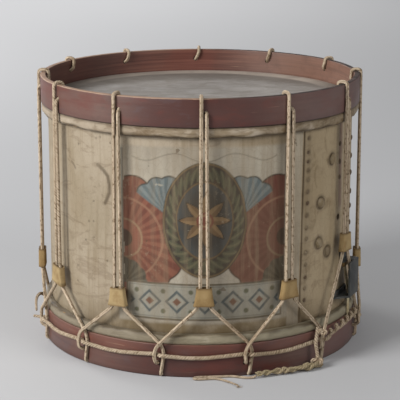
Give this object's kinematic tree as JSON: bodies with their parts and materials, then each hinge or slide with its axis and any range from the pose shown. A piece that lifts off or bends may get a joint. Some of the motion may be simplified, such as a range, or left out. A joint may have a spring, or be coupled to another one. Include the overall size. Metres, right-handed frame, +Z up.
{
  "type": "rope-tensioned side drum",
  "caption": "Rope-tensioned wooden side drum with painted hoops, skin heads, leather tugs, gut snares and a drag rope, standing on its lower hoop",
  "frame": {"origin": "the middle of the standing plane, under the drum's axis, on the lower face of the lower hoop", "axes": "+Z is up along the drum's axis, -Y faces the viewer of the picture, +X is to the viewer's right"},
  "size_m": [0.4323, 0.4495, 0.3483],
  "materials": {
    "shell_wood": "worn cream paint over bent wood",
    "hoop_paint": "worn red-brown paint over bent wood",
    "bare_wood": "bare",
    "calfskin": "dry skin",
    "hemp": "aged laid rope",
    "leather": "buff leather",
    "gut": "twisted gut",
    "iron": "dark, lightly rusted"
  },
  "bodies": {
    "drum": {"shell": "shell_wood", "top_counterhoop": "hoop_paint", "bottom_counterhoop": "hoop_paint", "top_flesh_hoop": "bare_wood", "bottom_flesh_hoop": "bare_wood", "batter_head": "calfskin", "snare_head": "calfskin", "tension_rope": "hemp", "drag_rope_front": "hemp", "drag_rope_chain": "hemp", "drag_rope_back": "hemp", "drag_rope_drop": "hemp", "drag_rope_braid": "hemp", "drag_rope_tail": "hemp", "strainer_bracket": "iron", "bracket_rivet_1": "iron", "bracket_rivet_2": "iron", "bracket_rivet_3": "iron", "bracket_rivet_4": "iron", "seam_stud_1": "iron", "seam_stud_2": "iron", "seam_stud_3": "iron", "seam_stud_4": "iron", "snare_gut_1": "gut", "snare_gut_2": "gut", "snare_gut_3": "gut", "snare_gut_4": "gut", "snare_butt": "leather", "snare_tie": "leather"},
    "tug_01_sleeve": {"tug_01": "leather"},
    "tug_02_sleeve": {"tug_02": "leather"},
    "tug_03_sleeve": {"tug_03": "leather"},
    "tug_04_sleeve": {"tug_04": "leather"},
    "tug_05_sleeve": {"tug_05": "leather"},
    "tug_06_sleeve": {"tug_06": "leather"},
    "tug_07_sleeve": {"tug_07": "leather"},
    "tug_08_sleeve": {"tug_08": "leather"},
    "tug_09_sleeve": {"tug_09": "leather"},
    "tug_10_sleeve": {"tug_10": "leather"},
    "tug_11_sleeve": {"tug_11": "leather"},
    "tug_12_sleeve": {"tug_12": "leather"}
  },
  "joints": [
    {"name": "tug_01_slide", "type": "slide", "parent": "drum", "child": "tug_01_sleeve", "axis": [0, 0, 1], "range_m": [0, 0.16]},
    {"name": "tug_02_slide", "type": "slide", "parent": "drum", "child": "tug_02_sleeve", "axis": [0, 0, 1], "range_m": [0, 0.16]},
    {"name": "tug_03_slide", "type": "slide", "parent": "drum", "child": "tug_03_sleeve", "axis": [0, 0, 1], "range_m": [0, 0.13]},
    {"name": "tug_04_slide", "type": "slide", "parent": "drum", "child": "tug_04_sleeve", "axis": [0, 0, 1], "range_m": [0, 0.16]},
    {"name": "tug_05_slide", "type": "slide", "parent": "drum", "child": "tug_05_sleeve", "axis": [0, 0, 1], "range_m": [0, 0.16]},
    {"name": "tug_06_slide", "type": "slide", "parent": "drum", "child": "tug_06_sleeve", "axis": [0, 0, 1], "range_m": [0, 0.16]},
    {"name": "tug_07_slide", "type": "slide", "parent": "drum", "child": "tug_07_sleeve", "axis": [0, 0, 1], "range_m": [0, 0.16]},
    {"name": "tug_08_slide", "type": "slide", "parent": "drum", "child": "tug_08_sleeve", "axis": [0, 0, 1], "range_m": [0, 0.16]},
    {"name": "tug_09_slide", "type": "slide", "parent": "drum", "child": "tug_09_sleeve", "axis": [0, 0, 1], "range_m": [0, 0.16]},
    {"name": "tug_10_slide", "type": "slide", "parent": "drum", "child": "tug_10_sleeve", "axis": [0, 0, 1], "range_m": [0, 0.16]},
    {"name": "tug_11_slide", "type": "slide", "parent": "drum", "child": "tug_11_sleeve", "axis": [0, 0, 1], "range_m": [0, 0.16]},
    {"name": "tug_12_slide", "type": "slide", "parent": "drum", "child": "tug_12_sleeve", "axis": [0, 0, 1], "range_m": [0, 0.16]}
  ]
}
